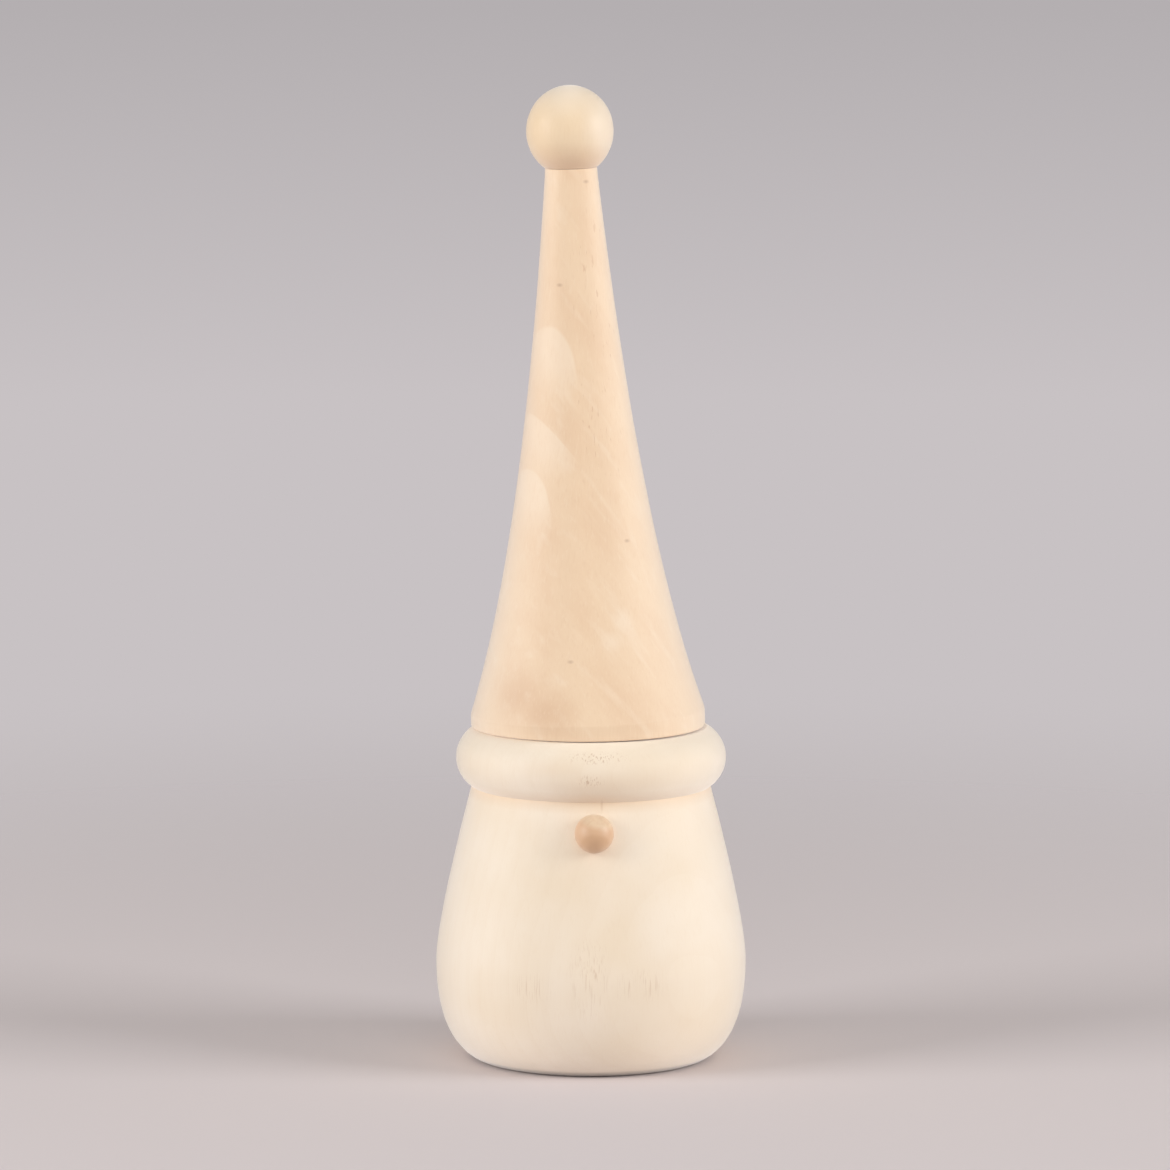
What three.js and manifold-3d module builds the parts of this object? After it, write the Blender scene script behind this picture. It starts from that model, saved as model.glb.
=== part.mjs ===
// A turned wooden gnome figure in six pieces: a body with a rolled brim, a nose bead, a tall
// leaning hat that sits loose on a peg, and a bobble pegged to the tip of the hat.
// Lengths are in millimetres and +Z is up. The origin is the middle of the base, on the ground.
// The nose looks along -Y and the hat leans towards -X.

import * as THREE from 'three';
import { mergeVertices } from 'three/addons/utils/BufferGeometryUtils.js';
import Module from 'manifold-3d';

const wasm = await Module();
wasm.setup();

const { degToRad, lerp } = THREE.MathUtils;

// Body, from the ground up
const BASE_RADIUS = 23.8;
const BASE_TURN_Z = 5; // height where the curve out of the base turns up to the belly
const BELLY_RADIUS = 32.2;
const BELLY_Z = 20.3;
const FLANK_TURN = 8; // above the belly, where the flank turns in to the shoulder
const SHOULDER_RADIUS = 24.75;
const SHOULDER_Z = 56.95;

// Rolled brim at the top of the body, round a flat seat for the hat
const BRIM_OVERHANG = 3.25; // past the shoulder
const BRIM_ROUND = 7; // radius of the roll
const SEAT_INSET = 4; // from the brim's widest point in to the edge of the seat

// Nose bead, sunk in a round socket in the front of the body
const NOSE_DIAMETER = 8;
const NOSE_DROP = 5.85; // from the shoulder down to the middle of the bead
const NOSE_STANDOFF = 1.6; // from the flank out to the middle of the bead

// Hat, measured along its own axis from its foot
const HAT_HEIGHT = 115.3;
const HAT_FOOT_RADIUS = 24.2;
const HAT_FOOT_EASE = 0.7; // rounding of the foot's edge
const HAT_BAND = 3.1; // upright band above the foot
const HAT_WAIST_RADIUS = 12.05; // radius and height of the point that draws the flank in
const HAT_WAIST_Z = 39.9;
const HAT_TIP_RADIUS = 5.35;
const HAT_LEAN = degToRad(1.75);
const HAT_FOOT_TILT = degToRad(0.5); // the foot was faced nearly level, so it leans less than the hat
const HAT_SHIFT = 0.6; // from the peg to the middle of the foot, towards -X

// Peg that carries the hat
const PEG_DIAMETER = 8;
const PEG_IN_BODY = 18; // both depths are measured from the seat
const PEG_IN_HAT = 18;
const PEG_CHAMFER = 0.8;

// Bobble on the tip of the hat, and its peg
const BOBBLE_RADIUS = 9;
const BOBBLE_RISE = 9.4; // from its middle to its top: it is a little taller than a true ball
const BOBBLE_DROP = 7.4; // from its middle to the flat that it stands on
const BOBBLE_PEG_DIAMETER = 4;
const BOBBLE_PEG_IN_HAT = 9; // both depths are measured from the flat under the bobble
const BOBBLE_PEG_IN_BOBBLE = 7;
const BOBBLE_PEG_CHAMFER = 0.4;

// Fits
const PEG_CLEARANCE = 0.1; // all round a peg in its bore
const BORE_SPARE = 0.4; // bore left past the end of a peg
const GLUE_GAP = 0.3; // round a bead in its socket
const GLUE_LINE = 0.15; // under the bobble
const SEAT_GAP = 0.1; // under the low side of the hat's foot
const DRILL_POINT = degToRad(118); // angle across a drill's cutting tip
const DRILL_RUN_OUT = 3; // how far a drill starts outside the face it enters

// Smoothness
const TURNED_SIDES = 56;
const BOBBLE_SIDES = 40;
const SMALL_SIDES = 28;
const CURVE_STEPS = 8;

// Places worked out from the sizes above
const BRIM_RADIUS = SHOULDER_RADIUS + BRIM_OVERHANG;
const BRIM_CENTRE_RADIUS = BRIM_RADIUS - BRIM_ROUND;
const BRIM_LOW_ANGLE = -Math.acos(1 - BRIM_OVERHANG / BRIM_ROUND);
const BRIM_HIGH_ANGLE = Math.acos(1 - SEAT_INSET / BRIM_ROUND);
const BRIM_Z = SHOULDER_Z - BRIM_ROUND * Math.sin(BRIM_LOW_ANGLE);
const SEAT_Z = BRIM_Z + BRIM_ROUND * Math.sin(BRIM_HIGH_ANGLE);
const NOSE_Z = SHOULDER_Z - NOSE_DROP;
const HAT_FOOT_Z = SEAT_Z + SEAT_GAP + HAT_FOOT_RADIUS * Math.sin(HAT_FOOT_TILT);
const BOBBLE_FLAT = HAT_HEIGHT + GLUE_LINE;

// Turns an outline of (radius, height) about the Z axis.
function turned(outline, sides) {
  return new THREE.LatheGeometry(outline.getPoints(CURVE_STEPS), sides).rotateX(Math.PI / 2);
}

// A ball with its poles on the Z axis.
function ball(radius, sides) {
  return new THREE.SphereGeometry(radius, sides, sides / 2).rotateX(Math.PI / 2);
}

// Makes a closed solid of a geometry: its corners are shared, and faces with no area are dropped.
function solid(geometry) {
  geometry.deleteAttribute('normal');
  geometry.deleteAttribute('uv');
  const merged = mergeVertices(geometry);
  const corners = merged.index.array;
  const kept = [];
  for (let i = 0; i < corners.length; i += 3) {
    const [a, b, c] = corners.slice(i, i + 3);
    if (a !== b && b !== c && c !== a) {
      kept.push(a, b, c);
    }
  }
  return new wasm.Manifold(
    new wasm.Mesh({
      numProp: 3,
      vertProperties: merged.attributes.position.array,
      triVerts: new Uint32Array(kept),
    }),
  );
}

// Makes a named mesh of a solid.
function piece(name, shape, color, roughness) {
  const { vertProperties, triVerts } = shape.getMesh();
  const geometry = new THREE.BufferGeometry();
  geometry.setAttribute('position', new THREE.BufferAttribute(vertProperties, 3));
  geometry.setIndex(new THREE.BufferAttribute(triVerts, 1));
  geometry.computeVertexNormals();
  const mesh = new THREE.Mesh(
    geometry,
    new THREE.MeshStandardMaterial({ color, roughness, metalness: 0 }),
  );
  mesh.name = name;
  return mesh;
}

// A drill for a peg's blind bore. It enters at z = 0 and points down.
function drill(pegDiameter, depth) {
  const radius = pegDiameter / 2 + PEG_CLEARANCE;
  const end = -depth - BORE_SPARE;
  const outline = new THREE.Path();
  outline.moveTo(0, end - radius / Math.tan(DRILL_POINT / 2));
  outline.lineTo(radius, end);
  outline.lineTo(radius, DRILL_RUN_OUT);
  outline.lineTo(0, DRILL_RUN_OUT);
  return turned(outline, SMALL_SIDES);
}

// A dowel with chamfered ends that crosses z = 0.
function dowel(diameter, below, above, chamfer) {
  const radius = diameter / 2;
  const outline = new THREE.Path();
  outline.moveTo(0, -below);
  outline.lineTo(radius - chamfer, -below);
  outline.lineTo(radius, chamfer - below);
  outline.lineTo(radius, above - chamfer);
  outline.lineTo(radius - chamfer, above);
  outline.lineTo(0, above);
  return turned(outline, SMALL_SIDES);
}

// Radius of the flank, between belly and shoulder, at a height.
function flankRadius(z) {
  const bend = SHOULDER_Z - BELLY_Z - 2 * FLANK_TURN;
  const along = (Math.sqrt(FLANK_TURN ** 2 + bend * (z - BELLY_Z)) - FLANK_TURN) / bend;
  return lerp(BELLY_RADIUS, SHOULDER_RADIUS, along ** 2);
}

// Where the middle of the nose bead lies.
const NOSE_PLACE = new THREE.Vector3(0, -flankRadius(NOSE_Z) - NOSE_STANDOFF, NOSE_Z);

// Body with its brim, bored from the seat for the peg and hollowed in front for the nose.
function body() {
  const outline = new THREE.Path();
  outline.moveTo(0, 0);
  outline.lineTo(BASE_RADIUS, 0);
  outline.quadraticCurveTo(BELLY_RADIUS, BASE_TURN_Z, BELLY_RADIUS, BELLY_Z);
  outline.quadraticCurveTo(BELLY_RADIUS, BELLY_Z + FLANK_TURN, SHOULDER_RADIUS, SHOULDER_Z);
  outline.absarc(BRIM_CENTRE_RADIUS, BRIM_Z, BRIM_ROUND, BRIM_LOW_ANGLE, BRIM_HIGH_ANGLE);
  outline.lineTo(0, SEAT_Z);
  const pegBore = drill(PEG_DIAMETER, PEG_IN_BODY).translate(0, 0, SEAT_Z);
  const socket = ball(NOSE_DIAMETER / 2 + GLUE_GAP, SMALL_SIDES).translate(...NOSE_PLACE);
  const shape = solid(turned(outline, TURNED_SIDES)).subtract(solid(pegBore)).subtract(solid(socket));
  return piece('body', shape, 0xf0dcc2, 0.62);
}

function nose() {
  const mesh = piece('nose', solid(ball(NOSE_DIAMETER / 2, SMALL_SIDES)), 0xcfa27c, 0.45);
  mesh.position.copy(NOSE_PLACE);
  return mesh;
}

function hatPeg() {
  const shape = solid(dowel(PEG_DIAMETER, PEG_IN_BODY, PEG_IN_HAT, PEG_CHAMFER));
  const mesh = piece('hat_peg', shape, 0xd9b78f, 0.6);
  mesh.position.z = SEAT_Z;
  return mesh;
}

// Leans a turned hat. Each ring tilts with the hat's axis, but less and less down the band,
// because the foot is nearly level. So the band is deeper on the side away from the lean.
function leaned(geometry) {
  const corners = geometry.attributes.position;
  for (let i = 0; i < corners.count; i += 1) {
    const x = corners.getX(i);
    const z = corners.getZ(i);
    const tilt = lerp(HAT_FOOT_TILT, HAT_LEAN, Math.min(z / HAT_BAND, 1));
    corners.setX(i, x * Math.cos(tilt) - z * Math.sin(HAT_LEAN));
    corners.setZ(i, x * Math.sin(tilt) + z * Math.cos(HAT_LEAN));
  }
  return geometry;
}

// Hat, bored upright from its foot for the peg, and along its axis from its tip for the bobble's peg.
function hat() {
  const outline = new THREE.Path();
  outline.moveTo(0, 0);
  outline.lineTo(HAT_FOOT_RADIUS - HAT_FOOT_EASE, 0);
  outline.quadraticCurveTo(HAT_FOOT_RADIUS, 0, HAT_FOOT_RADIUS, HAT_FOOT_EASE);
  outline.lineTo(HAT_FOOT_RADIUS, HAT_BAND);
  outline.quadraticCurveTo(HAT_WAIST_RADIUS, HAT_WAIST_Z, HAT_TIP_RADIUS, HAT_HEIGHT);
  outline.lineTo(0, HAT_HEIGHT);
  const pegBore = drill(PEG_DIAMETER, PEG_IN_HAT).rotateX(Math.PI);
  pegBore.translate(HAT_SHIFT, 0, SEAT_Z - HAT_FOOT_Z);
  const tipBore = drill(BOBBLE_PEG_DIAMETER, BOBBLE_PEG_IN_HAT);
  tipBore.translate(0, 0, BOBBLE_FLAT).rotateY(-HAT_LEAN);
  const shape = solid(leaned(turned(outline, TURNED_SIDES)))
    .subtract(solid(pegBore))
    .subtract(solid(tipBore));
  return piece('hat', shape, 0xe8cbaa, 0.6);
}

function bobblePeg() {
  const shape = solid(
    dowel(BOBBLE_PEG_DIAMETER, BOBBLE_PEG_IN_HAT, BOBBLE_PEG_IN_BOBBLE, BOBBLE_PEG_CHAMFER),
  );
  const mesh = piece('bobble_peg', shape, 0xd9b78f, 0.6);
  mesh.position.z = BOBBLE_FLAT;
  return mesh;
}

// Bobble, turned with a flat under it and bored for its peg.
function bobble() {
  const flatAngle = -Math.asin(BOBBLE_DROP / BOBBLE_RISE);
  const outline = new THREE.Path();
  outline.moveTo(0, -BOBBLE_DROP);
  outline.lineTo(BOBBLE_RADIUS * Math.cos(flatAngle), -BOBBLE_DROP);
  outline.absellipse(0, 0, BOBBLE_RADIUS, BOBBLE_RISE, flatAngle, Math.PI / 2);
  const bore = drill(BOBBLE_PEG_DIAMETER, BOBBLE_PEG_IN_BOBBLE).rotateX(Math.PI);
  bore.translate(0, 0, -BOBBLE_DROP);
  const shape = solid(turned(outline, BOBBLE_SIDES)).subtract(solid(bore));
  const mesh = piece('bobble', shape, 0xf2ddbd, 0.55);
  mesh.position.z = BOBBLE_FLAT + BOBBLE_DROP;
  return mesh;
}

// The hat with what is fixed to its tip. The bobble and its peg share the hat's leaning axis.
function hatWithBobble() {
  const leaning = new THREE.Group();
  leaning.rotation.y = -HAT_LEAN;
  leaning.add(bobblePeg(), bobble());
  const group = new THREE.Group();
  group.position.set(-HAT_SHIFT, 0, HAT_FOOT_Z);
  group.add(hat(), leaning);
  return group;
}

const gnome = new THREE.Group();
gnome.add(body(), nose(), hatPeg(), hatWithBobble());

export default gnome;
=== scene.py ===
"""Models and dresses a raw turned wooden gnome figure over its measured frame.

The body, hat, bobble, nose and pegs are turned as on a lathe: a half outline is drawn point by point
and spun. Their woods are solid patterns in the figure's own space, so the grain runs through a piece and
shows as end grain on its ends. Lengths are in metres, +Z is up and the nose looks along -Y.
"""

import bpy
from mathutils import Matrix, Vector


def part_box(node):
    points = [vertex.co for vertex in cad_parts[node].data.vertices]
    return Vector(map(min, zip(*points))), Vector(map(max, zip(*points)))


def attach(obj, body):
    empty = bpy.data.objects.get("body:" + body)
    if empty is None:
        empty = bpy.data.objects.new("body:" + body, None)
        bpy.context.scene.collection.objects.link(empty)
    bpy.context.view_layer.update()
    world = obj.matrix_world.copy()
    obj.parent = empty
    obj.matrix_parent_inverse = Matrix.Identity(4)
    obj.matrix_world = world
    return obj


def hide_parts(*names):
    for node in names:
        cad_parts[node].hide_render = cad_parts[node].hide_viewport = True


bl_info = {
    "name": "Turned Wooden Gnome",
    "version": (1, 0, 0),
    "blender": (4, 5, 0),
    "location": "3D View > Sidebar > Gnome",
    "description": "Turns the pieces of a raw wooden gnome, gives them their woods and sets them on a stage",
    "category": "Add Mesh",
}

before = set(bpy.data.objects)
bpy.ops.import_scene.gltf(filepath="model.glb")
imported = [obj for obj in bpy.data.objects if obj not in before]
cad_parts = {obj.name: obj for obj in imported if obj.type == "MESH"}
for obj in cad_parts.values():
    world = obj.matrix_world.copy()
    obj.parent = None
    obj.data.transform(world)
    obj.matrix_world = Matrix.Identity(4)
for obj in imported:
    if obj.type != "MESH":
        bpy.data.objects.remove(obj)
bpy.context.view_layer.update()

import math
from itertools import pairwise

import bpy
from bpy.props import FloatProperty, FloatVectorProperty, PointerProperty
from mathutils import Vector

MM = 0.001
TURNED_SIDES = 160
CURVE_STEPS = 40
ROUND_STEPS = 6
BASE_STEPS = 12
SEAT_STEPS = 10
BAND_STEPS = 3
END_STEPS = 4
WELD = 0.002 * MM
SMOOTH_ANGLE = math.radians(32)
DRILL_HALF_ANGLE = math.radians(59)

# The rounding of the base's edge ends this far out and up, in shares of its size.
EASE_OUT = 0.85
EASE_UP = 0.5

# Points within these shares of a bore's radius count as the bore's own.
NEAR_BORE = 1.01
ROUND_BORE = 1.1

# How uneven the turned surfaces are, and how long their waves are.
WIDE_UNEVENNESS = 0.1 * MM
FINE_UNEVENNESS = 0.06 * MM
BODY_WAVE = 14 * MM
HAT_WAVE = 16 * MM
FOOT_WAVE = 5 * MM
BOBBLE_WAVE = 6 * MM
NOSE_WAVE = 3 * MM

# The body stays even up to this height, so that it stands flat.
EVEN_FOOT = 2 * MM

# The stage, in metres. The floor laps in under the base by a little, and is open further in.
FLOOR_RADIUS = 6.0
FLOOR_SIDES = 96
FLOOR_LAP = 0.3 * MM
LEFT_BOX_AT = (-1.05, -0.41, 0.44)
RIGHT_BOX_AT = (1.05, -0.39, 0.44)
FRONT_BOX_AT = (0.1, -1.2, 0.6)
TOP_BOX_AT = (0.0, -0.3, 1.2)
SIDE_BOX_SIZE = 0.6
FRONT_BOX_SIZE = 0.8
TOP_BOX_SIZE = 0.9

# A reach, in millimetres, that goes past the whole figure.
ANYWHERE = 1000

# Places that the measured frame gives.
BODY_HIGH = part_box("body")[1]
PEG_LOW, PEG_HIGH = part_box("hat_peg")
NOSE_LOW, NOSE_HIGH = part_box("nose")
BOBBLE_LOW, BOBBLE_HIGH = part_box("bobble")
SEAT_Z = BODY_HIGH.z
NOSE_CENTRE = (NOSE_LOW + NOSE_HIGH) / 2
NOSE_RADIUS = (NOSE_HIGH.z - NOSE_LOW.z) / 2
BOBBLE_CENTRE = (BOBBLE_LOW + BOBBLE_HIGH) / 2
BOBBLE_RADIUS = (BOBBLE_HIGH.y - BOBBLE_LOW.y) / 2
PEG_RADIUS = (PEG_HIGH.y - PEG_LOW.y) / 2


def linear(code):
    """Turns an sRGB hex colour such as "#F4E4CB" into linear red, green and blue."""
    shares = [int(code[i : i + 2], 16) / 255 for i in (1, 3, 5)]
    return [s / 12.92 if s <= 0.04045 else ((s + 0.055) / 1.055) ** 2.4 for s in shares]


def power(name, description, watts):
    """The power of a lamp that a user may change, in watts."""
    return FloatProperty(name=name, description=description, default=watts, unit="POWER")


def length(name, description, millimetres):
    """A length that a user may change, given in millimetres and kept in metres."""
    return FloatProperty(name=name, description=description, default=millimetres * MM, unit="LENGTH")


def angle(name, description, degrees):
    """An angle that a user may change, given in degrees and kept in radians."""
    return FloatProperty(name=name, description=description, default=math.radians(degrees), unit="ROTATION")


def colour(name, description, code):
    """A colour that a user may change, given as sRGB hex and kept linear."""
    return FloatVectorProperty(name=name, description=description, default=linear(code), subtype="COLOR")


class GnomeBodySizes(bpy.types.PropertyGroup):
    """Outline of the turned body and its rolled brim."""

    base_radius: length("Base radius", "Radius of the flat that the figure stands on", 23.8)
    base_turn_z: length("Base turn", "Height where the curve out of the base turns up", 5.0)
    base_ease: length("Base ease", "Rounding of the base's edge", 1.2)
    belly_radius: length("Belly radius", "Radius at the widest point", BODY_HIGH.x / MM)
    belly_z: length("Belly height", "Height of the widest point", 20.3)
    flank_turn: length("Flank turn", "Rise above the belly where the flank turns in", 8.0)
    shoulder_radius: length("Shoulder radius", "Radius where the flank runs in under the brim", 24.75)
    shoulder_z: length("Shoulder height", "Height where the flank runs in under the brim", 56.95)
    brim_overhang: length("Brim overhang", "How far the brim stands out past the shoulder", 3.25)
    brim_round: length("Brim roll", "Radius of the brim's rolled edge", 7.0)
    seat_inset: length("Seat inset", "From the brim's widest point in to the flat seat", 4.0)
    socket_gap: length("Socket gap", "Room for glue round the nose bead", 0.12)


class GnomeHatSizes(bpy.types.PropertyGroup):
    """Outline and lean of the turned hat."""

    height: length("Height", "From the foot to the tip, along the hat's own axis", 115.3)
    foot_radius: length("Foot radius", "Radius of the foot", 24.2)
    foot_ease: length("Foot ease", "Rounding of the foot's edge", 0.4)
    foot_drop: length("Foot drop", "How far the foot is let down into the joint under it", 0.1)
    band: length("Band", "Height of the upright band above the foot", 3.1)
    band_ease: length("Band ease", "Rounding between the band and the flank", 0.8)
    waist_radius: length("Waist radius", "Radius of the point that draws the flank in", 12.05)
    waist_z: length("Waist height", "Height of the point that draws the flank in", 39.9)
    tip_radius: length("Tip radius", "Radius of the tip under the bobble", 5.35)
    tip_ease: length("Tip ease", "Rounding of the tip's edge", 0.1)
    lean: angle("Lean", "How far the hat leans towards -X", 1.75)
    foot_tilt: angle("Foot tilt", "How far the foot leans, less than the hat does", 0.25)
    foot_z: length("Foot height", "Height of the hat's origin, in the middle of the foot", 69.5)
    shift: length("Shift", "From the peg to the middle of the foot, towards -X", 0.6)


class GnomePegSizes(bpy.types.PropertyGroup):
    """The dowels inside, the bores they sit in, and the bobble."""

    clearance: length("Clearance", "Gap round a peg in its bore", 0.1)
    bore_spare: length("Bore spare", "Bore left past the end of a peg", 0.4)
    chamfer: length("Hat peg chamfer", "Chamfer on the hat peg's ends", 0.8)
    bobble_chamfer: length("Bobble peg chamfer", "Chamfer on the bobble peg's ends", 0.4)
    bobble_peg_radius: length("Bobble peg radius", "Radius of the bobble's peg", 2.0)
    bobble_peg_in_hat: length("Bobble peg in hat", "From the bobble's flat down into the hat", 8.9)
    bobble_peg_in_bobble: length("Bobble peg in bobble", "From the bobble's flat up into the bobble", 7.1)
    glue_line: length("Glue line", "Gap between the hat's tip and the flat under the bobble", 0.05)
    bobble_rise: length("Bobble rise", "From the bobble's middle to its top", 9.38)
    bobble_drop: length("Bobble drop", "From the bobble's middle to the flat under it", 7.5)
    bobble_ease: length("Bobble ease", "Rounding of the edge of the flat under the bobble", 0.1)


class GnomeColours(bpy.types.PropertyGroup):
    """Colours of the woods and of the stage."""

    lime_pale: colour("Lime, pale", "Clean sapwood of the body", "#F2E3CE")
    lime_warm: colour("Lime, warm", "Warmer clouds in the body", "#EDDBC1")
    lime_line: colour("Lime, line", "Growth lines and fibre streaks in the body", "#DFC4A2")
    lime_torn: colour("Lime, torn", "Fibres torn by the turning tool", "#BF9872")
    # Soft brown on the brim's front, and painted shade in the groove under the brim.
    lime_brown_and_shade: colour("Lime, stain", "Browner places on the brim and under it", "#E3C5A2")
    # Painted shade for the dark edge where the figure meets the floor.
    lime_contact_shade: colour("Lime, foot", "Brown edge that the figure stands on", "#5A402C")
    lime_end: colour("Lime, end grain", "End grain of base and seat", "#E0C39E")
    hat_tan: colour("Hat wood, tan", "Main tone of the hat", "#EBCEAB")
    # The pale flames and wisps are the wood's own figure. On the hat's flanks and the bobble's crown this
    # colour is painted light.
    hat_pale_and_lit: colour("Hat wood, pale", "Pale flames in the hat, and the bobble's crown", "#F4E0C6")
    # The pinkish clouds are the wood's own figure. On the hat's upper left this colour is painted shade.
    hat_pink_and_shade: colour("Hat wood, pink", "Pinkish clouds in the hat", "#E7C7A3")
    # Fibre ticks, brown patches and end grain in the hat. Low on the bobble this colour is painted shade.
    hat_line_and_shade: colour("Hat wood, line", "Fibre ticks in the hat", "#D2A880")
    hat_knot: colour("Hat wood, knot", "Pin knots in the hat", "#94643F")
    bobble_pale: colour("Bobble, pale", "Main tone of the bobble", "#EDD4B1")
    # The ball's own grain, and painted shade on its left side.
    bobble_warm_and_shade: colour("Bobble, warm", "Grain of the bobble", "#E2C59C")
    # Painted light on the bobble's right side.
    bobble_lit_cream: colour("Bobble, cream", "Creamy right side of the bobble", "#EAD8C0")
    # The bead's own light grain, and painted light on its top.
    bead_pale_and_lit_top: colour("Bead, light", "Light grain of the nose bead", "#E1C4A2")
    bead_dark: colour("Bead, dark", "Dark grain of the nose bead", "#D8B08B")
    bead_brown: colour("Bead, blotch", "Browner blotch on the lower front of the nose bead", "#CBA077")
    dowel_light: colour("Dowel, light", "Main tone of the dowels", "#E0C19A")
    dowel_fleck: colour("Dowel, fleck", "Ray flecks in the dowels", "#B98D60")
    floor: colour("Floor", "Plain pale floor", "#D9D0D0")
    surround: colour("Surround", "Even light all round", "#F4F2F0")
    backdrop_low: colour("Backdrop, low", "Background behind the figure", "#C8C2C4")
    backdrop_high: colour("Backdrop, high", "Background above the figure", "#B4AFB1")


class GnomeStageSettings(bpy.types.PropertyGroup):
    """Camera and lights."""

    camera_distance: length("Camera distance", "From the aim point to the camera", 1445.0)
    camera_aim_x: length("Aim across", "Sideways place of the point the camera looks at", -1.25)
    camera_aim_z: length("Aim height", "Height of the point the camera looks at", 98.55)
    camera_pitch: angle("Camera pitch", "How far the camera looks down", 7.29)
    camera_turn: angle("Camera turn", "How far the camera stands round towards -X", 1.3)
    camera_lens: FloatProperty(name="Lens", description="Focal length", default=215.4, unit="CAMERA")
    left_power: power("Left box", "Power of the left softbox", 9.4)
    right_power: power("Right box", "Power of the right softbox", 10.0)
    front_power: power("Front box", "Power of the high front softbox", 1.0)
    top_power: power("Top box", "Power of the overhead softbox", 1.0)
    surround: FloatProperty(name="Surround", description="Strength of the light all round", default=0.37)
    floor_near: length("Floor fade start", "Where the floor starts to fade into the backdrop", 100)
    floor_far: length("Floor fade end", "Where the floor has faded out", 550)


# Drawing and turning

def curve(start, pull, end, steps=CURVE_STEPS):
    """Points of a quadratic curve from start to end, drawn towards pull, without the first point."""
    a, b, c = Vector(start), Vector(pull), Vector(end)
    shares = [i / steps for i in range(1, steps + 1)]
    return [tuple(a * (1 - t) ** 2 + b * 2 * t * (1 - t) + c * t**2) for t in shares]


def arc(centre, radius, first, last, steps=CURVE_STEPS):
    """Points of a circular arc between two angles, without the first point."""
    turns = [first + (last - first) * i / steps for i in range(1, steps + 1)]
    return [(centre[0] + radius * math.cos(t), centre[1] + radius * math.sin(t)) for t in turns]


def line(start, end, steps):
    """Evenly spaced points of a straight run, without the first point."""
    a, b = Vector(start), Vector(end)
    return [tuple(a.lerp(b, i / steps)) for i in range(1, steps + 1)]


def spun(name, outline):
    """Draws a half outline of (radius, height) points from a merged plane and spins it round Z."""
    bpy.ops.object.select_all(action="DESELECT")
    bpy.ops.mesh.primitive_plane_add(size=MM)
    piece = bpy.context.object
    piece.name = piece.data.name = name
    bpy.ops.object.mode_set(mode="EDIT")
    bpy.ops.mesh.select_all(action="SELECT")
    bpy.ops.mesh.merge(type="CENTER")
    bpy.ops.transform.translate(value=(outline[0][0], 0, outline[0][1]))
    for (near, low), (far, high) in pairwise(outline):
        bpy.ops.mesh.extrude_region_move(TRANSFORM_OT_translate={"value": (far - near, 0, high - low)})
    bpy.ops.mesh.select_all(action="SELECT")
    bpy.ops.mesh.spin(steps=TURNED_SIDES, angle=math.tau, center=(0, 0, 0), axis=(0, 0, 1))
    bpy.ops.mesh.select_all(action="SELECT")
    bpy.ops.mesh.remove_doubles(threshold=WELD)
    bpy.ops.mesh.normals_make_consistent(inside=False)
    bpy.ops.object.mode_set(mode="OBJECT")
    return piece


def points_where(piece, test):
    """Numbers of the points of a piece whose place passes a test."""
    return {point.index for point in piece.data.vertices if test(point.co)}


def choose(piece, points=None):
    """Selects some points of a piece by number, or all of them, and leaves it in edit mode."""
    bpy.ops.object.mode_set(mode="EDIT")
    bpy.ops.mesh.select_all(action="DESELECT" if points is not None else "SELECT")
    if points is not None:
        bpy.ops.object.mode_set(mode="OBJECT")
        for number in points:
            piece.data.vertices[number].select = True
        bpy.ops.object.mode_set(mode="EDIT")


def lean_points(radians):
    """Turns the chosen points about the Y axis through the origin, so that their top goes towards -X."""
    bpy.ops.transform.rotate(value=radians, orient_axis="Y", center_override=(0, 0, 0))


def move_points(offset):
    """Moves the chosen points and leaves edit mode."""
    bpy.ops.transform.translate(value=offset)
    bpy.ops.object.mode_set(mode="OBJECT")


def cut(piece, cutter):
    """Takes a cutter's shape out of a piece."""
    modifier = piece.modifiers.new("cut", "BOOLEAN")
    modifier.operation = "DIFFERENCE"
    modifier.solver = "EXACT"
    modifier.object = cutter
    apply(piece, modifier)
    bpy.data.objects.remove(cutter)


def apply(piece, modifier):
    """Applies one modifier to a piece."""
    bpy.ops.object.select_all(action="DESELECT")
    piece.select_set(True)
    bpy.context.view_layer.objects.active = piece
    bpy.ops.object.modifier_apply(modifier=modifier.name)


def wander(piece, size, depth, points=None, direction="NORMAL"):
    """Makes a surface uneven by up to depth, in waves of about size, on some of its points or on all."""
    texture = bpy.data.textures.new(piece.name + "_unevenness", "CLOUDS")
    texture.noise_scale = size
    modifier = piece.modifiers.new("unevenness", "DISPLACE")
    modifier.texture = texture
    modifier.texture_coords = "LOCAL"
    modifier.direction = direction
    modifier.strength = depth
    modifier.mid_level = 1.0
    if points:
        group = piece.vertex_groups.new(name="uneven")
        group.add(list(points), 1.0, "REPLACE")
        modifier.vertex_group = group.name
    apply(piece, modifier)
    piece.vertex_groups.clear()


def place(piece, material, node, body):
    """Smooths a finished piece, gives it its wood and puts it in the place of its CAD node."""
    bpy.ops.object.select_all(action="DESELECT")
    piece.select_set(True)
    bpy.context.view_layer.objects.active = piece
    bpy.ops.object.shade_smooth_by_angle(angle=SMOOTH_ANGLE)
    piece.data.materials.clear()
    piece.data.materials.append(material)
    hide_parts(node)
    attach(piece, body)


def bore(radius, mouth, depth):
    """Outline points of a blind bore, from mouth to drill point. It goes up if depth is below 0."""
    point = math.copysign(radius / math.tan(DRILL_HALF_ANGLE), depth)
    return [(radius, mouth), (radius, mouth - depth), (0, mouth - depth - point)]


# Woods. All patterns lie in the figure's own space, and their lengths are in millimetres.

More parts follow.
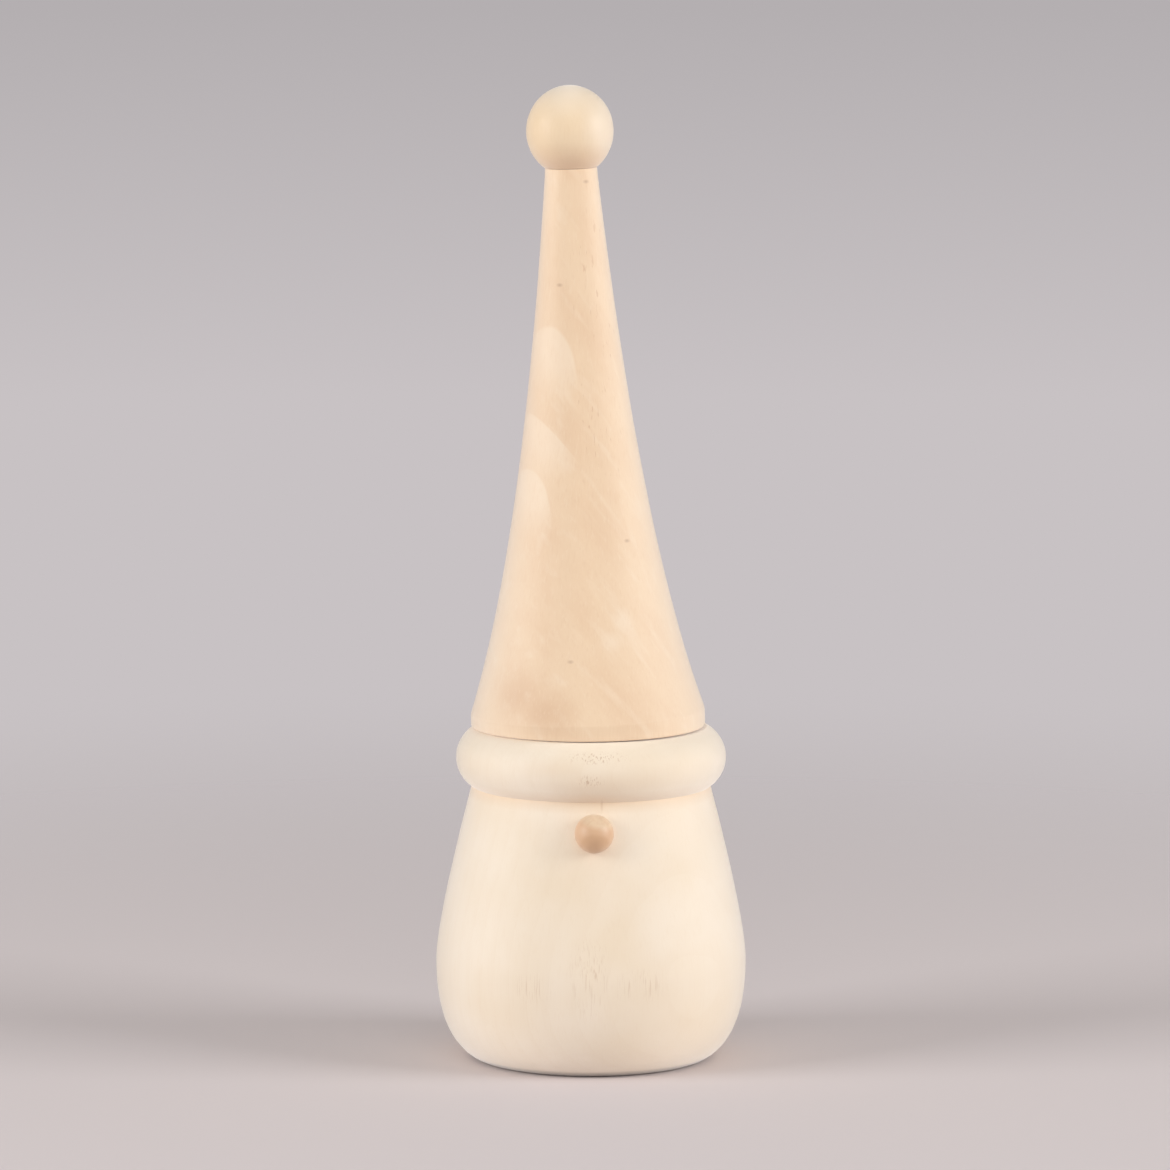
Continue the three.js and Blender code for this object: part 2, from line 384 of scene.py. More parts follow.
def add(tree, kind, sockets=None, **settings):
    """Adds one node: settings go on the node, and sockets take a value or another node's output."""
    node = tree.nodes.new("ShaderNode" + kind)
    for name, value in settings.items():
        setattr(node, name, value)
    for name, value in (sockets or {}).items():
        if isinstance(value, bpy.types.NodeSocket):
            tree.links.new(value, node.inputs[name])
        else:
            node.inputs[name].default_value = value
    return node


def new_material(name):
    """A new material with an empty node tree."""
    material = bpy.data.materials.new(name)
    material.use_nodes = True
    material.node_tree.nodes.clear()
    return material


def own_space(tree):
    """The place in the figure's own space, in millimetres."""
    at = add(tree, "TexCoord").outputs["Object"]
    return add(tree, "VectorMath", {0: at, 1: (1 / MM,) * 3}, operation="MULTIPLY").outputs[0]


def facing(tree, axis):
    """How far the surface faces along an axis, either way."""
    normal = add(tree, "SeparateXYZ", {0: add(tree, "TexCoord").outputs["Normal"]})
    return add(tree, "Math", {0: normal.outputs[axis]}, operation="ABSOLUTE").outputs[0]


def end_grain(tree, most=1.0):
    """Goes up to most where the surface faces straight up or down, and so cuts across the fibres."""
    return scaled(tree, facing(tree, "Z"), 0.9, 0.99, 0.0, most)


def finish_wood(tree, tone, fibre, roughness, relief, depth, sheen=0.8):
    """Joins a wood's tone and relief to its surface. The roughness goes from least to most with the fibres,
    and raw fibres give a faint pale sheen."""
    rough = scaled(tree, fibre, 0.3, 0.7, *roughness)
    normal = add(tree, "Bump", {"Height": relief, "Distance": depth * MM}).outputs["Normal"]
    sockets = {"Base Color": tone, "Roughness": rough, "Normal": normal, "IOR": 1.5}
    sockets.update({"Sheen Weight": sheen, "Sheen Roughness": 0.6})
    surface = add(tree, "BsdfPrincipled", sockets).outputs["BSDF"]
    add(tree, "OutputMaterial", {"Surface": surface})


def tint(tree, base, over, share):
    """Lays one colour over another by a share, which may be a pattern."""
    pair = [c if isinstance(c, bpy.types.NodeSocket) else (*c, 1) for c in (base, over)]
    return add(tree, "Mix", {0: share, 6: pair[0], 7: pair[1]}, data_type="RGBA").outputs[2]


def scaled(tree, pattern, low, high, least=0.0, most=1.0):
    """Spreads a pattern's range from low to high over least to most, and clips it there."""
    spread = {"Value": pattern, "From Min": low, "From Max": high, "To Min": least, "To Max": most}
    return add(tree, "MapRange", spread).outputs["Result"]


def both(tree, first, second, operation="MULTIPLY"):
    """Joins two patterns, by their product unless another operation is named."""
    return add(tree, "Math", {0: first, 1: second}, operation=operation).outputs[0]


def clouds(tree, spot, size, detail=2.0):
    """Soft clouds of about one size."""
    return add(tree, "TexNoise", {"Vector": spot, "Scale": 1 / size, "Detail": detail}).outputs["Fac"]


def laid(tree, spot, centre=(0, 0, 0), reach=(1, 1, 1), turn=(0, 0, 0)):
    """The place as seen from a centre, turned and measured in reaches."""
    sockets = {"Vector": spot, "Location": centre, "Rotation": turn, "Scale": reach}
    return add(tree, "Mapping", sockets, vector_type="TEXTURE").outputs[0]


def streaks(tree, spot, width, run, turn=(0, 0, 0), shift=(0, 0, 0)):
    """Fibre streaks of one width and run along Z, or along Z turned."""
    return clouds(tree, laid(tree, spot, shift, (width, width, run), turn), 1.0)


def patch(tree, spot, centre, reach, turn=(0, 0, 0)):
    """A soft spot that is 1 at its centre and fades to 0 at its reach along each axis."""
    near = laid(tree, spot, centre, reach, turn)
    return add(tree, "TexGradient", {"Vector": near}, gradient_type="SPHERICAL").outputs["Fac"]


def patches(tree, spot, spots):
    """Several soft spots together."""
    together = patch(tree, spot, *spots[0])
    for centre, reach in spots[1:]:
        together = both(tree, together, patch(tree, spot, centre, reach), "MAXIMUM")
    return together


def rings(tree, spot, pith, spacing, distortion, profile="SIN"):
    """Growth rings of one spacing round an upright pith line through a point."""
    around = laid(tree, spot, pith)
    # A wave texture of scale 1 repeats every tau / 20.
    waves = {"Vector": around, "Scale": math.tau / 20 / spacing, "Distortion": distortion}
    waves.update({"Detail": 2.0, "Detail Scale": 0.6})
    wave = add(tree, "TexWave", waves, wave_type="RINGS", rings_direction="Z", wave_profile=profile)
    return wave.outputs["Fac"]


def flame(tree, spot, centre, reach, crest, turn=(0, 0, 0)):
    """A pale tongue of figure: clear along its rounded upper edge, and fading away from its crest."""
    edge = scaled(tree, patch(tree, spot, centre, reach, turn), 0.0, 0.06)
    near = scaled(tree, patch(tree, spot, crest, (9, 14, 11)), 0.0, 0.6)
    return both(tree, edge, near)


def lime_wood(colours):
    """Limewood, turned and sanded, left raw: pale, even and matt, with faint upright fibre lines. A few
    places where the tool tore the fibres show as short darker ticks."""
    material = new_material("limewood_turned_raw")
    tree = material.node_tree
    spot = own_space(tree)
    cloud = clouds(tree, spot, 20)
    tone = tint(tree, colours.lime_pale, colours.lime_warm, scaled(tree, cloud, 0.38, 0.68))
    growth = rings(tree, spot, (-46, 58, 0), 3.2, 1.6, profile="SAW")
    tone = tint(tree, tone, colours.lime_line, scaled(tree, growth, 0.5, 1.0, 0.0, 0.06))
    # Real fibres are some 0.03 mm wide. They are drawn about ten times as wide, so that they show.
    fibre = streaks(tree, spot, 0.4, 9)
    tone = tint(tree, tone, colours.lime_line, scaled(tree, fibre, 0.52, 0.78, 0.0, 0.1))
    # Soft brown on the brim's front. Painted shade in the groove under the brim, where the brim shades the
    # body.
    brim_brown = patches(tree, spot, (((0, -28, 60.8), (18, 8, 3.4)), ((-9, -26, 64), (9, 8, 3))))
    tone = tint(tree, tone, colours.lime_brown_and_shade, both(tree, brim_brown, 0.25))
    groove = patch(tree, spot, (0, 0, 57), (ANYWHERE, ANYWHERE, 2.4))
    tone = tint(tree, tone, colours.lime_brown_and_shade, scaled(tree, groove, 0.0, 1.0, 0.0, 0.6))
    # Painted shade: a dark brown edge at the foot, where the figure meets the floor.
    foot = patch(tree, spot, (0, 0, 0), (ANYWHERE, ANYWHERE, 1.5))
    tone = tint(tree, tone, colours.lime_contact_shade, both(tree, foot, 0.95))
    # Torn fibres: two rows on the brim's front, three patches on the belly and a crack by the brim.
    ticks = scaled(tree, streaks(tree, spot, 0.3, 1.6, shift=(3, 0, 1)), 0.56, 0.66)
    lines = scaled(tree, streaks(tree, spot, 0.28, 5, shift=(5, 0, 2)), 0.54, 0.66)
    brim = patches(tree, spot, (((1, -27, 66.5), (8, 4, 1.5)), ((-0.7, -27.8, 61.9), (3.5, 3, 1.6))))
    front = (((-1, -31.8, 22), (5, 4, 10)), ((-12, -28.5, 19.5), (6, 5, 3.5)))
    belly = patches(tree, spot, (*front, ((9, -30, 20), (7, 5, 4))))
    crack = patch(tree, spot, (1.6, -25, 56.6), (0.35, 1.5, 1.8))
    torn = both(tree, both(tree, brim, ticks), both(tree, both(tree, belly, lines), 0.45), "MAXIMUM")
    torn = both(tree, torn, both(tree, crack, 0.4), "MAXIMUM")
    tone = tint(tree, tone, colours.lime_torn, scaled(tree, torn, 0.0, 0.6, 0.0, 0.6))
    pores = scaled(tree, clouds(tree, spot, 0.5, 1.0), 0.45, 0.75, 0.4, 0.9)
    tone = tint(tree, tone, colours.lime_end, both(tree, end_grain(tree), pores))
    relief = both(tree, both(tree, fibre, 0.2), both(tree, torn, 0.8), "SUBTRACT")
    finish_wood(tree, tone, fibre, (0.55, 0.7), relief, 0.04)
    return material


def hat_wood(colours):
    """Wood of a warmer, figured blank, turned and sanded, left raw: tan and pinkish, with slanting clouds,
    pale flames on the left, short fibre ticks and a few pin knots."""
    material = new_material("figured_wood_turned_raw")
    tree = material.node_tree
    spot = own_space(tree)
    # The figure runs slantwise, from upper left to lower right on the front.
    slant = (0, math.radians(-38), 0)
    figure = clouds(tree, laid(tree, spot, reach=(7, 7, 20), turn=slant), 1.0, 3.0)
    tone = tint(tree, colours.hat_tan, colours.hat_pink_and_shade, scaled(tree, figure, 0.4, 0.66))
    wisps = clouds(tree, laid(tree, spot, (9, 4, 3), (2.2, 2.2, 16), slant), 1.0)
    tone = tint(tree, tone, colours.hat_pale_and_lit, scaled(tree, wisps, 0.55, 0.72, 0.0, 0.3))
    # Painted light: the flanks, which face the side lamps, are painted paler than the front. Painted shade
    # on the upper left takes some of that back.
    tone = tint(tree, tone, colours.hat_pale_and_lit, scaled(tree, facing(tree, "X"), 0.5, 1.0, 0.0, 0.5))
    warm = patch(tree, spot, (-14, -4, 150), (9, 14, 55))
    tone = tint(tree, tone, colours.hat_pink_and_shade, scaled(tree, warm, 0.0, 0.6, 0.0, 0.6))
    # Three pale flames on the left.
    upper = flame(tree, spot, (-9, -8, 140), (6.2, 14, 13.2), (-6.5, -8, 149))
    middle = flame(tree, spot, (-6.2, -9, 121.4), (5.4, 14, 20), (-8.8, -9, 132), slant)
    lower = flame(tree, spot, (-13.5, -9, 113), (5.3, 14, 11), (-11.5, -9, 120))
    flames = both(tree, upper, both(tree, middle, lower, "MAXIMUM"), "MAXIMUM")
    tone = tint(tree, tone, colours.hat_pale_and_lit, both(tree, flames, 0.55))
    pale = patches(tree, spot, (((6.3, -17, 93.5), (3, 3, 3)), ((3.8, -19, 89.2), (3, 3, 2.5))))
    tone = tint(tree, tone, colours.hat_pale_and_lit, scaled(tree, pale, 0.0, 0.8, 0.0, 0.45))
    brown = patches(tree, spot, (((-16, -16.5, 78), (10, 9, 8)), ((-10, -20.5, 75), (9, 8, 6))))
    tone = tint(tree, tone, colours.hat_line_and_shade, scaled(tree, brown, 0.0, 0.9, 0.0, 0.5))
    # Real fibres are some 0.03 mm wide. They are drawn about ten times as wide, so that they show.
    fibre = streaks(tree, spot, 0.35, 4)
    tone = tint(tree, tone, colours.hat_line_and_shade, scaled(tree, fibre, 0.54, 0.74, 0.0, 0.12))
    bright = streaks(tree, spot, 0.35, 3, shift=(7, 3, 5))
    tone = tint(tree, tone, colours.hat_pale_and_lit, scaled(tree, bright, 0.58, 0.7, 0.0, 0.18))
    # Short dark ticks on the upper front, as of fibres that the tool lifted.
    lifted = scaled(tree, streaks(tree, spot, 0.6, 3.6, shift=(2, 4, 9)), 0.65, 0.72)
    front = patch(tree, spot, (1.5, -9, 150), (8, 12, 40))
    lifted = both(tree, lifted, scaled(tree, front, 0.0, 0.4))
    tone = tint(tree, tone, colours.hat_line_and_shade, both(tree, lifted, 0.5))
    small = (0.85, 0.85, 0.5)
    knots = (((-1.2, -4.7, 182.2), small), ((-6.6, -6.9, 161.2), small), ((7, -12.2, 109.2), small))
    knot = patches(tree, spot, (*knots, ((-4.7, -20.2, 85.3), small)))
    tone = tint(tree, tone, colours.hat_knot, scaled(tree, knot, 0.0, 0.9, 0.0, 0.4))
    tone = tint(tree, tone, colours.hat_line_and_shade, end_grain(tree, 0.5))
    marks = both(tree, knot, both(tree, lifted, 0.8), "MAXIMUM")
    relief = both(tree, both(tree, fibre, 0.25), both(tree, marks, 0.6), "SUBTRACT")
    finish_wood(tree, tone, fibre, (0.52, 0.68), relief, 0.04)
    return material


def bobble_wood(colours):
    """A turned wooden ball, sanded smooth and left raw: yellowish, with soft upright grain. Painted light
    makes it paler on the crown and creamier on the right, and painted shade makes it warmer on the left and
    browner low down."""
    material = new_material("ball_wood_sanded")
    tree = material.node_tree
    spot = own_space(tree)
    growth = rings(tree, spot, (14, 30, 0), 3, 1.5)
    tone = tint(tree, colours.bobble_pale, colours.bobble_warm_and_shade, scaled(tree, growth, 0.3, 1.0, 0.0, 0.12))
    fibre = streaks(tree, spot, 0.35, 5)
    tone = tint(tree, tone, colours.bobble_warm_and_shade, scaled(tree, fibre, 0.5, 0.75, 0.0, 0.2))
    tone = tint(tree, tone, colours.bobble_warm_and_shade, end_grain(tree, 0.25))
    x, y, z = BOBBLE_CENTRE / MM
    # Painted light: the lit right side is creamier and whiter.
    right = patch(tree, spot, (x + 10, y - 4, z), (9, 12, 12))
    tone = tint(tree, tone, colours.bobble_lit_cream, scaled(tree, right, 0.0, 0.5, 0.0, 0.8))
    # Painted light: the crown is paler, where it is lit from above.
    crown = patch(tree, spot, (x - 1, y - 5, z + 9), (10, 9, 8))
    tone = tint(tree, tone, colours.hat_pale_and_lit, scaled(tree, crown, 0.0, 0.7, 0.0, 0.75))
    # Painted shade: the left side is warmer and darker.
    left = patch(tree, spot, (x - 9, y - 4, z), (8, 12, 9))
    tone = tint(tree, tone, colours.bobble_warm_and_shade, scaled(tree, left, 0.0, 0.7, 0.0, 0.5))
    # Painted shade: browner just above the joint, low on the bobble, where it faces down.
    joint = patch(tree, spot, (x, y - 2, BOBBLE_LOW.z / MM), (11, 11, 9))
    tone = tint(tree, tone, colours.hat_line_and_shade, scaled(tree, joint, 0.1, 0.6, 0.0, 0.6))
    finish_wood(tree, tone, fibre, (0.45, 0.6), fibre, 0.015, sheen=0.6)
    return material


def bead_wood(colours):
    """A small hardwood bead, polished by tumbling: brown below and paler above, streaky, softly shiny.
    The paler top is partly its own two-tone grain and partly painted light from above.
    """
    material = new_material("bead_wood_polished")
    tree = material.node_tree
    spot = own_space(tree)
    fibre = streaks(tree, spot, 0.6, 3, turn=(0, math.radians(35), 0))
    x, y, z = NOSE_CENTRE / MM
    # Partly painted light: the top is paler where it is lit from above, over the bead's own two-tone grain.
    above = patch(tree, spot, (x + 1, y, z + 4.2), (5, 6, 5))
    tone = tint(tree, colours.bead_dark, colours.bead_pale_and_lit_top, scaled(tree, above, 0.1, 0.32))
    tone = tint(tree, tone, colours.bead_dark, scaled(tree, fibre, 0.4, 0.75, 0.0, 0.45))
    blotch = patch(tree, spot, (x + 0.1, y - 3, z - 2.2), (3.5, 4, 3))
    tone = tint(tree, tone, colours.bead_brown, scaled(tree, blotch, 0.0, 0.22, 0.0, 0.45))
    finish_wood(tree, tone, fibre, (0.44, 0.52), fibre, 0.012, sheen=0.25)
    return material


def dowel_wood(colours):
    """Beech dowel, machined and raw: pinkish tan with short dark ray flecks along the fibres."""
    material = new_material("beech_dowel_raw")
    tree = material.node_tree
    spot = own_space(tree)
    flecks = streaks(tree, spot, 0.3, 2.5)
    tone = tint(tree, colours.dowel_light, colours.dowel_fleck, scaled(tree, flecks, 0.55, 0.68, 0.0, 0.7))
    tone = tint(tree, tone, colours.dowel_fleck, end_grain(tree, 0.5))
    finish_wood(tree, tone, flecks, (0.55, 0.65), flecks, 0.03)
    return material


# Operators

class GNOME_OT_body(bpy.types.Operator):
    """Turn the body with its rolled brim, bore it for the peg and hollow it for the nose"""

    bl_idname = "gnome.body"
    bl_label = "Turn Body"

    def execute(self, context):
        size = context.scene.gnome_body
        peg = context.scene.gnome_pegs
        brim_radius = size.shoulder_radius + size.brim_overhang
        low = -math.acos(1 - size.brim_overhang / size.brim_round)
        high = math.acos(1 - size.seat_inset / size.brim_round)
        roll = (brim_radius - size.brim_round, size.shoulder_z - size.brim_round * math.sin(low))
        seat_radius = brim_radius - size.seat_inset
        ease = size.base_ease
        belly = (size.belly_radius, size.belly_z)
        outline = [(0, 0)]
        outline += line((0, 0), (size.base_radius - ease, 0), BASE_STEPS)
        rise = (size.base_radius + ease * EASE_OUT, ease * EASE_UP)
        outline += curve(outline[-1], (size.base_radius, 0), rise, ROUND_STEPS)
        outline += curve(outline[-1], (size.belly_radius, size.base_turn_z), belly)
        shoulder = (size.shoulder_radius, size.shoulder_z)
        outline += curve(belly, (size.belly_radius, size.belly_z + size.flank_turn), shoulder)
        outline += arc(roll, size.brim_round, low, high)
        bore_radius = PEG_RADIUS + peg.clearance
        outline += line((seat_radius, SEAT_Z), (bore_radius, SEAT_Z), SEAT_STEPS)[:-1]
        outline += bore(bore_radius, SEAT_Z, SEAT_Z - PEG_LOW.z + peg.bore_spare)
        piece = spun("turned_body", outline)
        side = points_where(piece, lambda p: p.z > EVEN_FOOT and p.xy.length > seat_radius)
        wander(piece, BODY_WAVE, WIDE_UNEVENNESS, side)
        hollow = arc((0, NOSE_CENTRE.z), NOSE_RADIUS + size.socket_gap, -math.pi / 2, math.pi / 2)
        socket = spun("socket", hollow)
        choose(socket)
        move_points((NOSE_CENTRE.x, NOSE_CENTRE.y, 0))
        cut(piece, socket)
        place(piece, lime_wood(context.scene.gnome_colours), "body", "body")
        return {"FINISHED"}


class GNOME_OT_nose(bpy.types.Operator):
    """Turn the nose bead and set it in its socket"""

    bl_idname = "gnome.nose"
    bl_label = "Turn Nose"

    def execute(self, context):
        outline = [(0, -NOSE_RADIUS)] + arc((0, 0), NOSE_RADIUS, -math.pi / 2, math.pi / 2)
        piece = spun("nose_bead", outline)
        wander(piece, NOSE_WAVE, FINE_UNEVENNESS)
        choose(piece)
        move_points(NOSE_CENTRE)
        place(piece, bead_wood(context.scene.gnome_colours), "nose", "body")
        return {"FINISHED"}


class GNOME_OT_hat(bpy.types.Operator):
    """Turn the hat, lean it, and bore it for its peg and for the bobble's peg"""

    bl_idname = "gnome.hat"
    bl_label = "Turn Hat"

    def execute(self, context):
        size = context.scene.gnome_hat
        peg = context.scene.gnome_pegs
        bore_radius = PEG_RADIUS + peg.clearance
        foot, low = size.foot_radius, -size.foot_drop
        outline = bore(bore_radius, low, low - (PEG_HIGH.z + peg.bore_spare - size.foot_z))[::-1]
        outline += line((bore_radius, low), (foot - size.foot_ease, low), SEAT_STEPS)
        outline += curve(outline[-1], (foot, low), (foot, low + size.foot_ease), ROUND_STEPS)
        outline += line(outline[-1], (foot, size.band - size.band_ease), BAND_STEPS)
        toward = Vector((size.waist_radius - foot, size.waist_z - size.band)).normalized()
        flank = Vector((foot, size.band)) + toward * size.band_ease
        outline += curve(outline[-1], (foot, size.band), flank, ROUND_STEPS)
        tip = (size.tip_radius, size.height - size.tip_ease)
        outline += curve(flank, (size.waist_radius, size.waist_z), tip, 2 * CURVE_STEPS)
        end = (tip[0] - size.tip_ease, size.height)
        outline += curve(tip, (size.tip_radius, size.height), end, ROUND_STEPS)
        tip_bore = peg.bobble_peg_radius + peg.clearance
        outline += line(outline[-1], (tip_bore, size.height), END_STEPS)[:-1]
        outline += bore(tip_bore, size.height, peg.bobble_peg_in_hat + peg.bore_spare - peg.glue_line)
        piece = spun("turned_hat", outline)
        bored = points_where(piece, lambda p: p.xy.length < bore_radius * NEAR_BORE and p.z < size.waist_z)
        upper = points_where(piece, lambda p: p.z > size.band) - bored
        heights = {high for radius, high in outline if high <= size.band}
        foot_rings = {h: points_where(piece, lambda p: abs(p.z - h) < WELD) - bored for h in heights}
        # The foot's edge is uneven, so that the dark joint under it widens and narrows.
        wander(piece, FOOT_WAVE, FINE_UNEVENNESS, foot_rings[low], "Z")
        side = points_where(piece, lambda p: p.z > size.band and p.xy.length > size.tip_radius)
        wander(piece, HAT_WAVE, WIDE_UNEVENNESS, side)
        # The foot leans less than the hat, and the band between them takes up the difference.
        for height, ring in foot_rings.items():
            share = max(height / size.band, 0)
            choose(piece, ring)
            lean_points(size.foot_tilt + (size.lean - size.foot_tilt) * share)
        choose(piece, upper)
        lean_points(size.lean)
        # The bore stays upright over the peg.
        choose(piece, bored)
        move_points((size.shift, 0, 0))
        choose(piece)
        move_points((-size.shift, 0, size.foot_z))
        place(piece, hat_wood(context.scene.gnome_colours), "hat", "hat")
        return {"FINISHED"}


def set_on_hat(piece, size, height):
    """Moves a piece that was turned at the origin up the hat's leaning axis."""
    choose(piece)
    bpy.ops.transform.translate(value=(0, 0, height))
    lean_points(size.lean)
    move_points((-size.shift, 0, size.foot_z))


class GNOME_OT_bobble(bpy.types.Operator):
    """Turn the bobble, bore it and set it on the tip of the hat"""

    bl_idname = "gnome.bobble"
    bl_label = "Turn Bobble"

    def execute(self, context):
        size = context.scene.gnome_hat
        peg = context.scene.gnome_pegs
        radius, rise, low = BOBBLE_RADIUS, peg.bobble_rise, -peg.bobble_drop
        turn = math.asin(low / rise) + peg.bobble_ease / radius
        side = [(r * radius, z * rise) for r, z in arc((0, 0), 1, math.pi / 2, turn, 2 * CURVE_STEPS)]
        flat = radius * math.cos(math.asin(low / rise))
        mouth = peg.bobble_peg_radius + peg.clearance
        outline = [(0, rise)] + side
        outline += curve(side[-1], (flat, low), (flat - peg.bobble_ease, low), ROUND_STEPS)
        outline += line(outline[-1], (mouth, low), END_STEPS)[:-1]
        outline += bore(mouth, low, -peg.bobble_peg_in_bobble - peg.bore_spare)
        piece = spun("bobble_ball", outline)
        outside = points_where(piece, lambda p: p.xy.length > mouth * ROUND_BORE and p.z > low)
        wander(piece, BOBBLE_WAVE, FINE_UNEVENNESS, outside)
        set_on_hat(piece, size, size.height + peg.glue_line - low)
        place(piece, bobble_wood(context.scene.gnome_colours), "bobble", "hat")
        return {"FINISHED"}


class GNOME_OT_pegs(bpy.types.Operator):
    """Turn the two dowels that hold hat and bobble"""

    bl_idname = "gnome.pegs"
    bl_label = "Turn Pegs"

    def execute(self, context):
        size = context.scene.gnome_hat
        peg = context.scene.gnome_pegs
        wood = dowel_wood(context.scene.gnome_colours)
        hat_peg = spun("hat_dowel", self.outline(PEG_RADIUS, PEG_LOW.z, PEG_HIGH.z, peg.chamfer))
        place(hat_peg, wood, "hat_peg", "hat_peg")
        ends = (-peg.bobble_peg_in_hat, peg.bobble_peg_in_bobble)
        bobble_peg = spun("bobble_dowel", self.outline(peg.bobble_peg_radius, *ends, peg.bobble_chamfer))
        set_on_hat(bobble_peg, size, size.height + peg.glue_line)
        place(bobble_peg, wood, "bobble_peg", "hat")
        return {"FINISHED"}

    def outline(self, radius, low, high, chamfer):
        """Half outline of a dowel with chamfered ends."""
        points = [(0, low), (radius - chamfer, low), (radius, low + chamfer)]
        return points + [(radius, high - chamfer), (radius - chamfer, high), (0, high)]


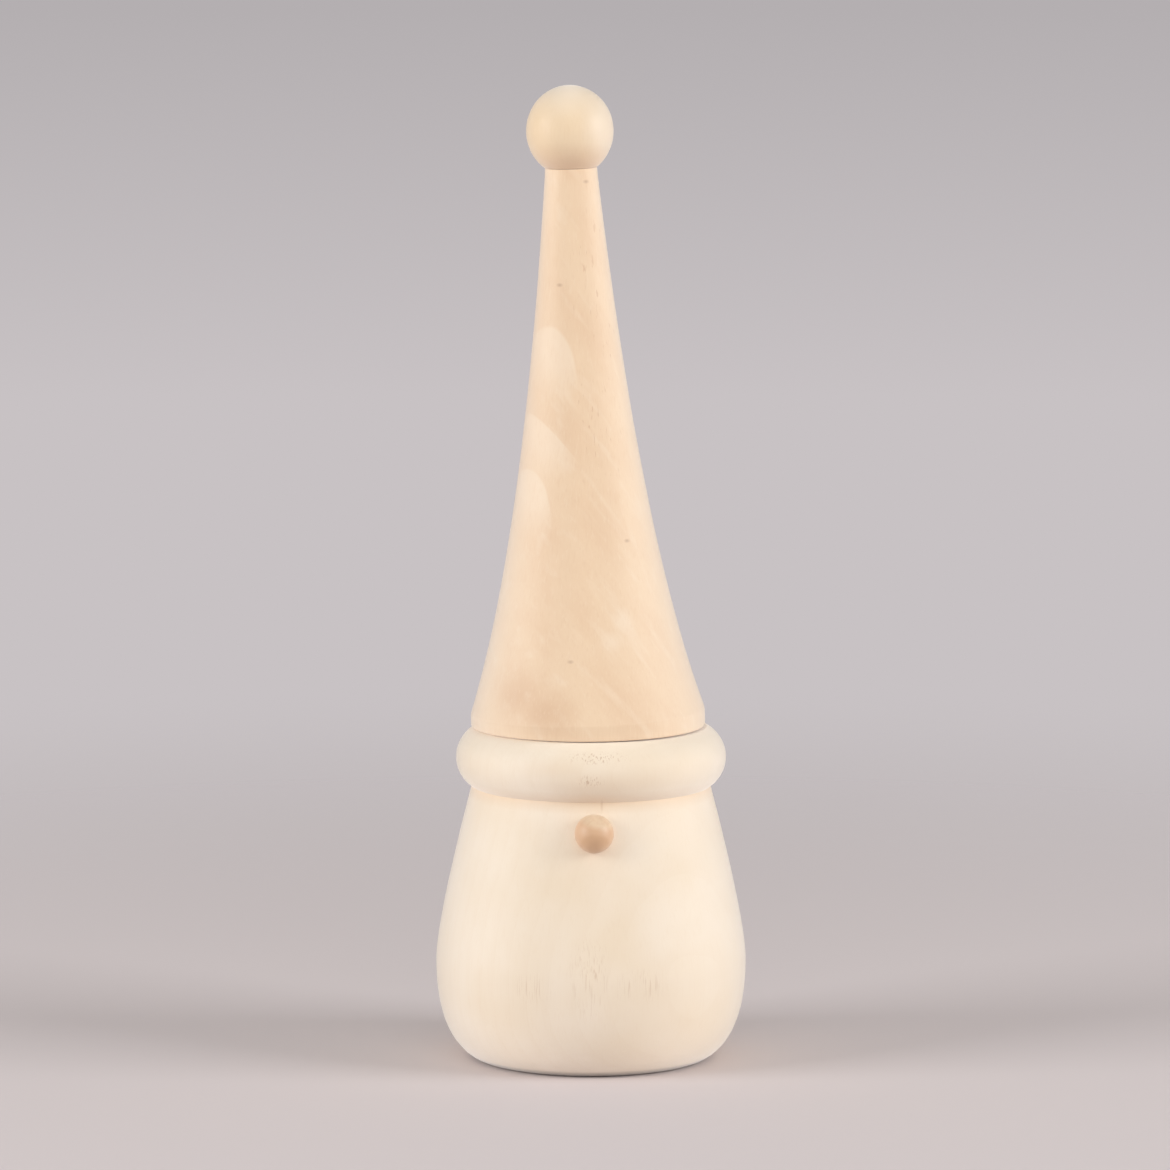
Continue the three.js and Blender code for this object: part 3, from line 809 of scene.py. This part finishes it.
class GNOME_OT_stage(bpy.types.Operator):
    """Lay the floor and set up the lights and the camera"""

    bl_idname = "gnome.stage"
    bl_label = "Set Stage"

    def execute(self, context):
        stage = context.scene.gnome_stage
        self.floor(context, stage)
        self.surround(context, stage)
        aim = Vector((0, 0, stage.camera_aim_z))
        self.softbox("left_softbox", LEFT_BOX_AT, aim, SIDE_BOX_SIZE, stage.left_power)
        self.softbox("right_softbox", RIGHT_BOX_AT, aim, SIDE_BOX_SIZE, stage.right_power)
        self.softbox("front_softbox", FRONT_BOX_AT, aim, FRONT_BOX_SIZE, stage.front_power)
        self.softbox("top_softbox", TOP_BOX_AT, aim, TOP_BOX_SIZE, stage.top_power)
        self.camera(context, stage)
        context.scene.view_settings.view_transform = "Standard"
        return {"FINISHED"}

    def floor(self, context, stage):
        """A wide pale floor that fades into the backdrop, and is clear when it is seen from below. It is
        open under the base, so that light from below reaches the underside."""
        bpy.ops.object.select_all(action="DESELECT")
        bpy.ops.mesh.primitive_circle_add(vertices=FLOOR_SIDES, radius=FLOOR_RADIUS, fill_type="NOTHING")
        floor = bpy.context.object
        floor.name = "floor"
        body = context.scene.gnome_body
        opening = body.base_radius - body.base_ease - FLOOR_LAP
        bpy.ops.object.mode_set(mode="EDIT")
        bpy.ops.mesh.select_all(action="SELECT")
        bpy.ops.mesh.extrude_region_move()
        bpy.ops.transform.resize(value=(opening / FLOOR_RADIUS,) * 3)
        bpy.ops.mesh.select_all(action="SELECT")
        bpy.ops.mesh.flip_normals()
        bpy.ops.object.mode_set(mode="OBJECT")
        material = new_material("paper_floor_matt")
        tree = material.node_tree
        paper = add(tree, "BsdfDiffuse", {"Color": (*context.scene.gnome_colours.floor, 1)}).outputs[0]
        centre = add(tree, "TexCoord").outputs["Object"]
        distance = add(tree, "VectorMath", {0: centre}, operation="LENGTH").outputs["Value"]
        fade = {"Value": distance, "From Min": stage.floor_near, "From Max": stage.floor_far}
        far = add(tree, "MapRange", fade, interpolation_type="SMOOTHSTEP").outputs["Result"]
        below = add(tree, "NewGeometry").outputs["Backfacing"]
        gone = both(tree, far, below, "MAXIMUM")
        watched = both(tree, gone, add(tree, "LightPath").outputs["Is Camera Ray"])
        clear = add(tree, "BsdfTransparent").outputs[0]
        seen = add(tree, "MixShader", {0: watched, 1: paper, 2: clear}).outputs[0]
        add(tree, "OutputMaterial", {"Surface": seen})
        floor.data.materials.append(material)

    def surround(self, context, stage):
        """Even light from all round, and a plain backdrop that darkens a little upwards."""
        world = bpy.data.worlds.new("studio_surround")
        context.scene.world = world
        world.use_nodes = True
        tree = world.node_tree
        tree.nodes.clear()
        colours = context.scene.gnome_colours
        even = {"Color": (*colours.surround, 1), "Strength": stage.surround}
        light = add(tree, "Background", even).outputs[0]
        ray = add(tree, "TexCoord").outputs["Generated"]
        rise = add(tree, "SeparateXYZ", {0: ray}).outputs["Z"]
        # Both limits look a little down, as the camera does.
        upper = scaled(tree, rise, -0.1, -0.045)
        shade = tint(tree, colours.backdrop_low, colours.backdrop_high, upper)
        backdrop = add(tree, "Background", {"Color": shade}).outputs[0]
        watched = add(tree, "LightPath").outputs["Is Camera Ray"]
        seen = add(tree, "MixShader", {0: watched, 1: light, 2: backdrop}).outputs[0]
        add(tree, "OutputWorld", {"Surface": seen})

    def softbox(self, name, at, aim, side, power):
        """A square soft light that looks at the figure."""
        bpy.ops.object.select_all(action="DESELECT")
        bpy.ops.object.light_add(type="AREA", location=at)
        lamp = bpy.context.object
        lamp.name = name
        lamp.data.shape = "SQUARE"
        lamp.data.size = side
        lamp.data.energy = power
        lamp.rotation_euler = (aim - Vector(at)).to_track_quat("-Z", "Y").to_euler()

    def camera(self, context, stage):
        """A long lens a little above the figure."""
        turn, pitch = stage.camera_turn, stage.camera_pitch
        level = math.cos(pitch)
        back = Vector((-math.sin(turn) * level, -math.cos(turn) * level, math.sin(pitch)))
        aim = Vector((stage.camera_aim_x, 0, stage.camera_aim_z))
        bpy.ops.object.camera_add(location=aim + back * stage.camera_distance)
        camera = bpy.context.object
        camera.rotation_euler = (-back).to_track_quat("-Z", "Y").to_euler()
        camera.data.sensor_width = 36
        camera.data.lens = stage.camera_lens
        camera.data.clip_end = 100
        context.scene.camera = camera


class GNOME_PT_workshop(bpy.types.Panel):
    """Lists the steps and sizes of the figure in the sidebar"""

    bl_idname = "GNOME_PT_workshop"
    bl_label = "Turned Gnome"
    bl_space_type = "VIEW_3D"
    bl_region_type = "UI"
    bl_category = "Gnome"

    def draw(self, context):
        for operator in OPERATORS:
            self.layout.operator(operator.bl_idname)
        for group in SETTINGS:
            box = self.layout.box()
            settings = getattr(context.scene, group)
            for name in SETTINGS[group].__annotations__:
                box.prop(settings, name)


SETTINGS = {
    "gnome_body": GnomeBodySizes,
    "gnome_hat": GnomeHatSizes,
    "gnome_pegs": GnomePegSizes,
    "gnome_colours": GnomeColours,
    "gnome_stage": GnomeStageSettings,
}
OPERATORS = (GNOME_OT_body, GNOME_OT_nose, GNOME_OT_hat, GNOME_OT_bobble, GNOME_OT_pegs, GNOME_OT_stage)


def register():
    """Registers the settings, the operators and the panel."""
    for name, group in SETTINGS.items():
        bpy.utils.register_class(group)
        setattr(bpy.types.Scene, name, PointerProperty(type=group))
    for kind in (*OPERATORS, GNOME_PT_workshop):
        bpy.utils.register_class(kind)


def unregister():
    """Takes the panel, the operators and the settings away again."""
    for kind in reversed((*OPERATORS, GNOME_PT_workshop)):
        bpy.utils.unregister_class(kind)
    for name, group in SETTINGS.items():
        delattr(bpy.types.Scene, name)
        bpy.utils.unregister_class(group)


def main():
    """Makes the figure and its stage."""
    register()
    bpy.ops.gnome.body()
    bpy.ops.gnome.nose()
    bpy.ops.gnome.hat()
    bpy.ops.gnome.bobble()
    bpy.ops.gnome.pegs()
    bpy.ops.gnome.stage()


if __name__ == "__main__":
    main()
